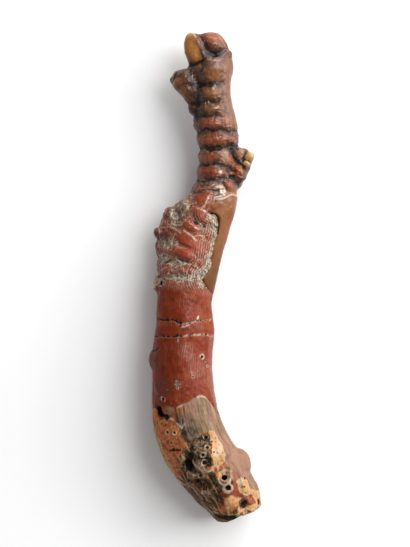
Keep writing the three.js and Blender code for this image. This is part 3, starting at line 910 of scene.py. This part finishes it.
class Wire:
    # A socket that takes part in sums: each sum adds its Math node.
    def __init__(self, socket):
        self.socket = socket

    def maths(self, operation, first, second, clamp=False):
        node = self.socket.id_data.nodes.new("ShaderNodeMath")
        node.operation = operation
        node.use_clamp = clamp
        feed(node.inputs[0], first)
        feed(node.inputs[1], second)
        return Wire(node.outputs[0])

    def __add__(self, other):
        return self.maths("ADD", self, other)

    def __radd__(self, other):
        return self.maths("ADD", other, self)

    def __sub__(self, other):
        return self.maths("SUBTRACT", self, other)

    def __rsub__(self, other):
        return self.maths("SUBTRACT", other, self)

    def __mul__(self, other):
        return self.maths("MULTIPLY", self, other)

    def __rmul__(self, other):
        return self.maths("MULTIPLY", other, self)

    def __or__(self, other):
        return self.maths("MAXIMUM", self, other)

    def kept(self):  # held between 0 and 1
        return self.maths("ADD", self, 0.0, clamp=True)


def tone(text):  # a colour as the eye sees it, for the shader
    shares = [int(text[i : i + 2], 16) / 255 for i in (1, 3, 5)]
    return (*[s / 12.92 if s <= 0.04045 else ((s + 0.055) / 1.055) ** 2.4 for s in shares], 1.0)


coralTones = {
    "ochre": "#925d2f",
    "hornBrown": "#6c4128",
    "hornDark": "#2a1812",
    "hornPale": "#775039",
    "crownRed": "#7c361c",
    "ringRed": "#a45334",
    "red": "#74280f",
    "redDeep": "#4c160c",
    "orange": "#7e3713",
    "bright": "#8c3820",
    "maroon": "#652d26",
    "burrRed": "#7c3a2a",
    "tan": "#7a4b2b",
    "tanLow": "#5f391c",
    "sheath": "#7c634b",
    "sheathPink": "#8f6a58",
    "crust": "#bb6637",
    "cream": "#c5b6a0",
    "bone": "#ae9068",
    "creamWarm": "#ba8e60",
    "grey": "#74675a",
    "moss": "#42382c",
    "slate": "#51463a",
    "pink": "#b48f80",
    "umber": "#503824",
    "amber": "#9c6533",
    "amberPale": "#b08a58",
    "dirtAndShade": "#160e0a",
}


class Finish:
    def __init__(self, name):
        self.material = bpy.data.materials.new(name)
        self.material.use_nodes = True
        self.tree = self.material.node_tree
        self.shader = self.tree.nodes["Principled BSDF"]
        place = self.node("ShaderNodeTexCoord", {}, {}, "Object")
        self.place = self.node(
            "ShaderNodeVectorMath", {"operation": "SCALE"}, {"Vector": place, "Scale": 1 / mm}
        )

    def node(self, kind, settings, values, result=0):
        node = self.tree.nodes.new(kind)
        for name, value in settings.items():
            setattr(node, name, value)
        for name, value in values.items():
            feed(node.inputs[name], value)
        return Wire(node.outputs[result])

    def mask(self, name, result="Fac"):
        return self.node("ShaderNodeAttribute", {"attribute_name": name}, {}, result)

    def mottle(self, size, detail=2.0, warp=0.0, seed=0.0):  # noise, 0 to 1, of that size in mm
        values = {"Vector": self.place, "W": seed, "Scale": 1 / size, "Detail": detail}
        values["Distortion"] = warp
        return self.node("ShaderNodeTexNoise", {"noise_dimensions": "4D"}, values, "Fac")

    def streaks(self, rolled, width, detail):  # noise drawn out along the stem, 0 to 1
        values = {"Vector": rolled, "Scale": 1 / width, "Detail": detail}
        return self.node("ShaderNodeTexNoise", {}, values, "Fac")

    def threads(self, size, width, seed):  # thin wandering lines, 0 to 1
        noise = self.mottle(size, 1.5, 1.2, seed) - 0.5
        return self.between(width, 0.0, noise.maths("ABSOLUTE", noise, 0.0))

    def between(self, low, high, value):  # 0 up to low, 1 from high on
        values = {"Value": value, "From Min": low, "From Max": high}
        return self.node("ShaderNodeMapRange", {"interpolation_type": "SMOOTHSTEP"}, values)

    def layers(self, colour, *coats):  # each coat is a share and the colour laid on with it
        for share, coat in coats:
            values = {0: share, 6: self.mixed(colour), 7: self.mixed(coat)}
            colour = self.node("ShaderNodeMix", {"data_type": "RGBA"}, values, 2)
        return colour

    def mixed(self, colour):  # a tone's name or number, or a colour mixed before
        if isinstance(colour, str):
            return tone(coralTones.get(colour, colour))
        return colour

    def give(self, **values):
        for name, value in values.items():
            feed(self.shader.inputs[name.replace("_", " ")], value)


stemMake = {
    "grooves": 84,  # growth grooves round the stem
    "radius": 7.0,  # mm, for streaks that run along the stem
    "streaks": 14.0,  # how often streaks repeat over the whole length
    "ribs": 0.60,  # mm from one rib to the next beside the flap
}


class Coral(Finish):
    # The coral's own noises and the grooves that follow the stem.
    def __init__(self, name):
        super().__init__(name)
        mask, step = self.mask, self.between
        self.along = mask("along")
        self.coarse = self.mottle(5.0, 3.0, 0.6, 1.0)
        self.middle = self.mottle(1.6, 3.0, 0.4, 2.0)
        self.small = self.mottle(0.7, 3.0, 0.3, 4.0)
        self.fine = self.mottle(0.32, 2.0, 0.0, 3.0)
        self.darkThreads = self.threads(1.5, 0.045, 6.0)
        self.paleThreads = self.threads(1.1, 0.040, 9.0)
        # growth grooves and streaks follow the stem
        girth = mask("girth", "Vector")
        sine = self.node("ShaderNodeSeparateXYZ", {}, {"Vector": girth}, "Y")
        cosine = self.node("ShaderNodeSeparateXYZ", {}, {"Vector": girth}, "X")
        turn = sine.maths("ARCTAN2", sine, cosine)
        lengthwise = self.node("ShaderNodeCombineXYZ", {}, {"Z": self.along * stemMake["streaks"]})
        sums = {0: girth, 1: (stemMake["radius"],) * 3, 2: lengthwise}
        rolled = self.node("ShaderNodeVectorMath", {"operation": "MULTIPLY_ADD"}, sums)
        self.streak = self.streaks(rolled, 0.60, 2.0)
        self.hair = self.streaks(rolled, 0.28, 1.0)
        sway = self.mottle(7.0, 1.0, 0.0, 8.0) * 6.0 + self.streak * 4.0
        wave = turn * stemMake["grooves"] + sway
        self.groove = step(0.35, 1.0, wave.maths("SINE", wave, 0.0))
        ribTurns = 2 * math.pi * ribReach / stemMake["ribs"]
        ribPhase = mask("ribPlace") * ribTurns + self.middle * 6.0 + self.small * 2.5
        self.rib = step(0.30, 0.98, ribPhase.maths("SINE", ribPhase, 0.0))
        self.upper = step(0.64, 0.68, self.along)
        self.comb = self.groove * (mask("veil") | mask("ringed") * 0.25)
        self.ribbed = mask("ribs")
        self.striped = step(0.22, 0.27, self.along) * (1 - step(0.66, 0.70, self.along))
        self.striped = self.striped * (1 - mask("tan")) * (1 - self.ribbed) * (1 - mask("burr") * 0.6)
        self.foot = mask("foot")


def stemColour(paint):
    # red below
    mask, step, layers = paint.mask, paint.between, paint.layers
    red = layers(
        "red",
        (step(0.48, 0.66, paint.coarse), "orange"),
        (step(0.50, 0.70, paint.middle) * 0.55, "redDeep"),
        (step(0.52, 0.68, paint.streak) * 0.35, "redDeep"),
        (step(0.58, 0.70, paint.hair) * 0.25, "orange"),
    )
    # horn brown above, with redder rings below the crown
    pads = mask("pads") * step(0.28, 0.60, paint.middle * 0.5 + paint.small * 0.5) * 0.9
    body = layers("hornBrown", (step(0.40, 0.68, paint.middle) * 0.8, "hornDark"))
    ring = layers("ringRed", (step(0.38, 0.60, paint.middle), "hornBrown"), (pads, "ringRed"))
    horn = layers(body, (pads, "ochre"))
    # the ochre on the crown is a painted highlight
    crown = layers("crownRed", (pads * 0.7, "ochre"))
    haired = mask("ringed") * paint.upper * step(0.87, 0.82, paint.along)
    haired = haired * (1 - mask("pale") * 0.8)
    veil = mask("veil") * step(0.10, 0.55, paint.small * 0.7 + paint.fine * 0.4)
    return layers(
        red,
        (step(0.62, 0.68, paint.along), ring),
        (step(0.815, 0.835, paint.along + (paint.coarse - 0.5) * 0.03), horn),
        (mask("pale") * (0.95 - step(0.5, 0.7, paint.middle) * 0.5), "hornPale"),
        (step(0.950, 0.965, paint.along), crown),
        (mask("knob") * 0.85, body),
        (mask("bright") * (0.95 - paint.middle * 0.5), "bright"),
        (mask("maroon") * 0.85, "maroon"),
        (haired * step(0.48, 0.38, paint.hair) * 0.5, "hornDark"),
        (haired * step(0.56, 0.68, paint.hair) * 0.35, "hornPale"),
        # painted sheen: a pale pink veil on the shoulder below the crown
        (mask("paintedSheen") * paint.upper * 0.45, "sheathPink"),
        (veil * 0.92, "hornDark"),
        (paint.comb * paint.upper * step(0.52, 0.66, paint.middle) * 0.4, "hornPale"),
        (paint.darkThreads * paint.upper * (0.2 + mask("veil") * 0.5), "hornDark"),
        (paint.paleThreads * paint.upper * (0.06 + mask("veil") * 0.60), "sheathPink"),
    )


def burrColour(paint, base):
    # burr: pads in a net of pale crackle
    mask, step, layers = paint.mask, paint.between, paint.layers
    creamy = layers("cream", (step(0.35, 0.6, paint.small), "grey"))
    mossy = layers("moss", (step(0.4, 0.55, paint.fine), creamy))
    plainBurr = mask("burr") * (1 - mask("bright") * 0.8) * (1 - mask("maroon") * 0.7)
    return layers(
        base,
        (plainBurr * step(0.50, 0.62, paint.small) * 0.6, "burrRed"),
        (plainBurr * paint.paleThreads, creamy),
        (plainBurr * step(0.56, 0.64, paint.fine) * 0.45, creamy),
        (mask("net") * step(0.40, 0.58, paint.small) * 0.8, creamy),
        (mask("grey") * step(0.34, 0.56, paint.middle * 0.5 + paint.fine * 0.5), mossy),
    )


def flapColour(paint, base):
    # ribs beside the flap, and the flap itself
    mask, step, layers = paint.mask, paint.between, paint.layers
    ribShown = step(0.34, 0.62, paint.small * 0.6 + paint.middle * 0.4)
    speckled = layers(
        "slate",
        (step(0.36, 0.54, paint.small), "cream"),
        ((1 - paint.rib) * 0.55, "slate"),
        (step(0.56, 0.66, paint.fine) * 0.7, "umber"),
        (paint.darkThreads * 0.8, "dirtAndShade"),
        (step(0.56, 0.66, paint.middle) * 0.5, "red"),
    )
    broken = step(0.30, 0.60, mask("creamRibs") + (paint.middle - 0.5) * 0.9)
    tan = layers(
        "tan",
        (step(0.58, 0.50, paint.along), "tanLow"),
        (step(0.45, 0.65, paint.coarse) * 0.45, "tanLow"),
        (step(0.5, 0.7, paint.small) * 0.18, "hornBrown"),
    )
    return layers(
        base,
        (paint.ribbed * paint.rib * ribShown * 0.52, "cream"),
        (broken * 0.92, speckled),
        (mask("tan"), tan),
    )


def grooveColour(paint, base):
    # fine grooves show pale in the red stem
    mask, step, layers = paint.mask, paint.between, paint.layers
    patchy = step(0.46, 0.68, paint.mottle(2.6, 2.0, 0.0, 5.0))
    thin = (paint.groove * 0.6 + step(0.55, 0.68, paint.hair) * 0.6).kept()
    flecks = step(0.65, 0.70, paint.fine) * step(0.32, 0.26, paint.along) * paint.striped
    return layers(
        base,
        # painted sheen: pale grooves and a pink veil, stronger inside the sheen ovals
        (paint.striped * thin * (0.03 + 0.12 * patchy + 0.34 * mask("paintedSheen")), "pink"),
        (mask("paintedSheen") * paint.striped * 0.10, "pink"),
        # the right flank's strip: partly a paler layer, partly painted light
        (mask("rightLow") * (0.14 + patchy * 0.22), "pink"),
        (flecks * 0.5, "cream"),
    )


def holdfastColour(paint, base):
    # the zones of the holdfast, which end raggedly
    mask, step, layers = paint.mask, paint.between, paint.layers
    uneven = (paint.small - 0.5) * 0.9 + (paint.middle - 0.5) * 0.7
    zone = {
        key: step(0.36, 0.62, mask(key) + uneven)
        for key in ("crust", "creamLeft", "creamKnob", "creamRight", "redLow", "pink")
    }
    footTone = layers(
        "umber",
        (step(0.52, 0.64, paint.streak), "bone"),
        (step(0.50, 0.62, paint.coarse) * 0.6, "crust"),
        (step(0.53, 0.62, paint.small * 0.5 + paint.streak * 0.5), "creamWarm"),
        (step(0.52, 0.66, paint.middle) * 0.7, "dirtAndShade"),
    )
    crust = layers(
        "crust",
        (step(0.48, 0.60, paint.middle) * 0.7, "red"),
        (step(0.42, 0.32, paint.middle) * 0.6, "umber"),
        (step(0.60, 0.67, paint.small) * 0.9, "creamWarm"),
        (paint.darkThreads * 0.6, "redDeep"),
        (paint.paleThreads * 0.4, "creamWarm"),
        (step(0.62, 0.68, paint.fine) * 0.6, "cream"),
    )
    murk = layers(
        "dirtAndShade",
        (step(0.42, 0.58, paint.small), "umber"),
        (step(0.54, 0.64, paint.middle) * 0.8, "grey"),
        (step(0.55, 0.63, paint.streak) * 0.6, "creamWarm"),
        (step(0.60, 0.70, paint.small) * 0.7, "crust"),
    )
    shaded = mask("sheathShade")
    netted = step(0.235, 0.200, paint.along) * shaded
    sheathLines = paint.groove * 0.15 + step(0.48, 0.62, paint.hair) * 0.6
    sheathLines = sheathLines + step(0.48, 0.60, paint.streak) * 0.5
    sheath = layers(
        "sheath",
        (step(0.42, 0.62, paint.coarse), "sheathPink"),
        (shaded * 0.75, "slate"),
        (step(0.215, 0.240, paint.along) * shaded * 0.45, "crust"),
        (netted * 0.6, "moss"),
        (netted * step(0.46, 0.56, paint.small) * 0.8, "dirtAndShade"),
        (sheathLines * (0.42 + shaded * 0.4), "dirtAndShade"),
        (step(0.42, 0.34, paint.streak) * 0.15, "cream"),
    )
    warm = layers(
        "bone",
        (step(0.42, 0.60, paint.middle), "creamWarm"),
        (step(0.52, 0.66, paint.coarse) * 0.6, "cream"),
        (step(0.53, 0.66, paint.small) * 0.6, "crust"),
        (step(0.44, 0.34, paint.small) * 0.7, "umber"),
    )
    pit = layers("dirtAndShade", (step(0.50, 0.62, paint.small), "slate"), (paint.paleThreads * 0.7, "bone"))
    brick = layers(
        "burrRed",
        (step(0.45, 0.65, paint.middle), "red"),
        (step(0.56, 0.70, paint.streak) * 0.6, "sheathPink"),
        (step(0.54, 0.64, paint.coarse) * 0.7, "sheathPink"),
    )
    nodule = layers(
        "creamWarm",
        (step(0.36, 0.66, paint.middle) * 0.7, "crust"),
        (step(0.50, 0.64, paint.small) * 0.7, "cream"),
    )
    return layers(
        base,
        (paint.foot, footTone),
        (zone["crust"], crust),
        (mask("darkLow") * 0.85, murk),
        (mask("umber") * 0.90, murk),
        (mask("sheath"), sheath),
        (zone["pink"] * 0.7, "sheathPink"),
        (zone["creamLeft"] * 0.85, warm),
        (zone["creamKnob"] * 0.9, warm),
        (step(0.36, 0.62, mask("knobPit") + uneven * 0.5) * 0.9, pit),
        (zone["redLow"] * 0.95, brick),
        (zone["creamRight"] * 0.85, warm),
        (mask("nodule") * 0.9, nodule),
    )


def tipColour(paint, base, plain, dirtAndPaintedShade):
    # tips, pale rims and pale spots with painted highlights, then dirt with painted shade in the
    # hollows
    mask, step, layers = paint.mask, paint.between, paint.layers
    root = step(0.945, 0.925, paint.along) * mask("finger") * 0.7
    amber = layers("amber", (step(0.4, 0.65, paint.coarse), "amberPale"), (root, "ringRed"))
    flake = layers("sheathPink", (step(0.4, 0.6, paint.middle), "hornPale"))
    berry = layers("bright", (step(0.45, 0.60, paint.middle), "ochre"))
    return layers(
        base,
        (mask("flake"), flake),
        (mask("berry"), berry),
        (mask("finger") | mask("amber"), amber),
        # pale spots, part of them painted highlights
        (mask("white") * step(0.32, 0.52, paint.small), "cream"),
        (mask("cream") * step(0.30, 0.5, paint.fine * 0.4 + paint.small * 0.6), "cream"),
        (mask("ridge") * paint.foot * 0.25, "creamWarm"),
        (dirtAndPaintedShade * 0.95, "dirtAndShade"),
        (step(0.58, 0.72, paint.fine) * plain * 0.22, "hornDark"),
    )


def coralFinish(name, gloss, shine, feel):
    paint = Coral(name)
    mask, step = paint.mask, paint.between
    plain = 1 - mask("tan") * 0.8 - paint.foot * 0.45 - mask("burr") * 0.50
    # painted shade: hollows are darkened along with the dirt marks
    dirtAndPaintedShade = (mask("dirtAndShade") * 1.1 + mask("hollow") * 0.9 * plain).kept()
    dirtAndPaintedShade = step(0.25, 0.95, dirtAndPaintedShade + (paint.fine - 0.5) * 0.7 * plain)
    base = stemColour(paint)
    for laid in (burrColour, flapColour, grooveColour, holdfastColour):
        base = laid(paint, base)
    base = tipColour(paint, base, plain, dirtAndPaintedShade)
    # the lower stem is duller, and grooves, ribs and threads are felt as well as seen
    dull = step(0.28, 0.20, paint.along)
    roughness = gloss + dull * 0.22 + (paint.middle - 0.5) * 0.2 + dirtAndPaintedShade * 0.20
    relief = paint.groove * (paint.striped * 0.2 + mask("sheath") * 0.5) * -1.0
    relief = relief - paint.hair * (paint.striped + mask("sheath") * 1.4) * 0.8
    relief = relief + paint.rib * paint.ribbed * (1.4 - mask("creamRibs"))
    relief = relief + paint.fine * 0.7 + paint.small * 1.2
    relief = relief - (paint.darkThreads + paint.comb * 0.8) * paint.upper * 0.8
    bump = {"Height": relief, "Strength": feel, "Distance": 0.07 * mm}
    normal = paint.node("ShaderNodeBump", {}, bump, "Normal")
    paint.give(Base_Color=base, Roughness=roughness.kept(), Normal=normal, Specular_IOR_Level=shine)
    return paint.material


# Parting the skin at the forks. Each cut is a piece, the one it is cut from, where its
# plane stands, which way it faces and a place near its far end.
def middleOf(node):
    low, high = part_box(node)
    return (low + high) / 2


def level(along, across):
    x, y = spot(along, across)
    return Vector((x, y, 0)) * mm


cuts = [
    ("upper_stem", "lower_stem", level(0.654, 0.05), (0.32, 0.947, 0), middleOf("crown")),
    ("crown", "upper_stem", level(0.9405, 0), (-0.12, 0.993, 0), middleOf("crown")),
    ("finger_tip", "crown", level(0.965, -0.72), (-0.95, -0.31, 0), middleOf("finger_tip")),
    ("left_stub", "upper_stem", level(0.895, -1.02), (-0.97, 0.2, 0), middleOf("left_stub")),
    ("knuckle", "upper_stem", level(0.725, 1.06), (1, 0, 0), middleOf("knuckle")),
    ("burr", "lower_stem", level(0.575, -0.82), (-0.947, 0.32, 0), middleOf("burr")),
    ("left_spur", "lower_stem", level(0.482, -1.07), (-1, 0.1, 0), middleOf("left_spur")),
]


def closed(body):
    rim = [edge for edge in body.edges if edge.is_boundary]
    for edge in rim:
        edge.smooth = False
    caps = bmesh.ops.holes_fill(body, edges=rim, sides=0)["faces"]
    bmesh.ops.triangulate(body, faces=caps)
    return body


def cutAway(body, point, facing, tip):  # the part past a plane that holds tip; both are closed
    facing = Vector(facing).normalized()
    bmesh.ops.bisect_plane(
        body,
        geom=body.verts[:] + body.edges[:] + body.faces[:],
        dist=0.0001 * mm,
        plane_co=point,
        plane_no=facing,
    )
    body.faces.ensure_lookup_table()
    body.faces.index_update()
    beyond = [(face.calc_center_median() - point).dot(facing) > 0 for face in body.faces]
    start = min(
        (face for face in body.faces if beyond[face.index]),
        key=lambda face: (face.calc_center_median() - tip).length_squared,
    )
    taken = {start.index}
    front = [start]
    while front:
        face = front.pop()
        for edge in face.edges:
            for other in edge.link_faces:
                if beyond[other.index] and other.index not in taken:
                    taken.add(other.index)
                    front.append(other)
    piece = body.copy()
    for part, keep in ((piece, True), (body, False)):
        part.faces.ensure_lookup_table()
        gone = [face for face in part.faces if (face.index in taken) != keep]
        bmesh.ops.delete(part, geom=gone, context="FACES")
        closed(part)
    return piece


def partedPieces(skin):
    whole = bmesh.new()
    whole.from_mesh(skin.mesh)
    bodies = {"lower_stem": whole}
    for name, source, point, facing, tip in cuts:
        bodies[name] = cutAway(bodies[source], point, facing, tip)
        print("parted", name, len(bodies[name].faces), "faces")
    for name in ("lower_stem", "upper_stem"):  # what is left of the stem comes last
        bodies[name] = bodies.pop(name)
    return bodies


slots = {
    "lower_stem": "red_stem",
    "left_spur": "red_stem",
    "upper_stem": "brown_stem",
    "crown": "brown_stem",
    "left_stub": "brown_stem",
    "knuckle": "brown_stem",
    "finger_tip": "pale_tip",
    "burr": "burr_crust",
}
finishMake = {
    # roughness, how strongly it mirrors, how rough it feels
    "red_stem": (0.36, 0.10, 0.45),
    "brown_stem": (0.25, 0.27, 0.30),
    "pale_tip": (0.24, 0.26, 0.15),
    "burr_crust": (0.36, 0.14, 0.50),
}


def buildBranch():
    skin = shaped()
    finishes = {slot: coralFinish(slot, *made) for slot, made in finishMake.items()}
    for name, body in partedPieces(skin).items():
        for face in body.faces:
            face.smooth = True
        mesh = bpy.data.meshes.new("coral_" + name)
        body.to_mesh(mesh)
        body.free()
        mesh.materials.append(finishes[slots[name]])
        piece = linked("coral_" + name, mesh)
        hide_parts(name)
        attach(piece, "root")
        print("piece", name, len(mesh.polygons), "faces")
    bpy.data.objects.remove(skin.piece)


buildBranch()

# The table, the lamps and the camera.
setMake = {
    "lens": 90.0,
    "sensor": 36.0,
    "frameHeight": 136.75 * mm,
    "north": 0.9 * mm,  # how far the view's middle is past the branch's
    "subject": 7 * mm,  # height of the branch's widest line over the table
    "table": 1.6,
    "sky": 0.38,
}


def layTable():
    table = bmesh.new()
    bmesh.ops.create_grid(table, x_segments=1, y_segments=1, size=setMake["table"])
    mesh = bpy.data.meshes.new("table")
    table.to_mesh(mesh)
    table.free()
    paint = Finish("white table")
    shade = paint.layers("#fbfbfb", (paint.mottle(40.0), "#f6f6f6"))
    paint.give(Base_Color=shade, Roughness=0.9, Specular_IOR_Level=0.2)
    mesh.materials.append(paint.material)
    linked("table", mesh)


def lamp(name, size, power, place, shineOnly=False):
    light = bpy.data.lights.new(name, "AREA")
    light.shape = "DISK"
    light.size = size
    light.energy = power
    piece = linked(name, light)
    piece.location = place
    piece.rotation_euler = Vector(place).to_track_quat("Z", "Y").to_euler()
    piece.visible_diffuse = not shineOnly


def setCamera():
    low, high = cadBox
    view = bpy.data.cameras.new("camera")
    view.lens = setMake["lens"]
    view.sensor_width = setMake["sensor"]
    view.clip_start = 0.01
    camera = linked("camera", view)
    distance = setMake["frameHeight"] * setMake["lens"] / setMake["sensor"]
    middle = (Vector(low) + Vector(high)) / 2
    camera.location = (middle.x, middle.y + setMake["north"], setMake["subject"] + distance)
    bpy.context.scene.camera = camera


layTable()
lamp("window", 0.9, 8.0, (0.546, 0.315, 0.493))
lamp("spark", 0.20, 5.0, (0.24, 0.26, 0.72), shineOnly=True)
lamp("low window", 0.45, 3.9, (0.200, 0.746, 0.207))
lamp("side", 0.45, 2.9, (0.761, 0.134, 0.207))
sky = bpy.data.worlds.new("room")
sky.use_nodes = True
sky.node_tree.nodes["Background"].inputs["Color"].default_value = (1, 1, 1, 1)
sky.node_tree.nodes["Background"].inputs["Strength"].default_value = setMake["sky"]
bpy.context.scene.world = sky
bpy.context.scene.view_settings.view_transform = "Standard"
setCamera()
print("table, lamps and camera in place")
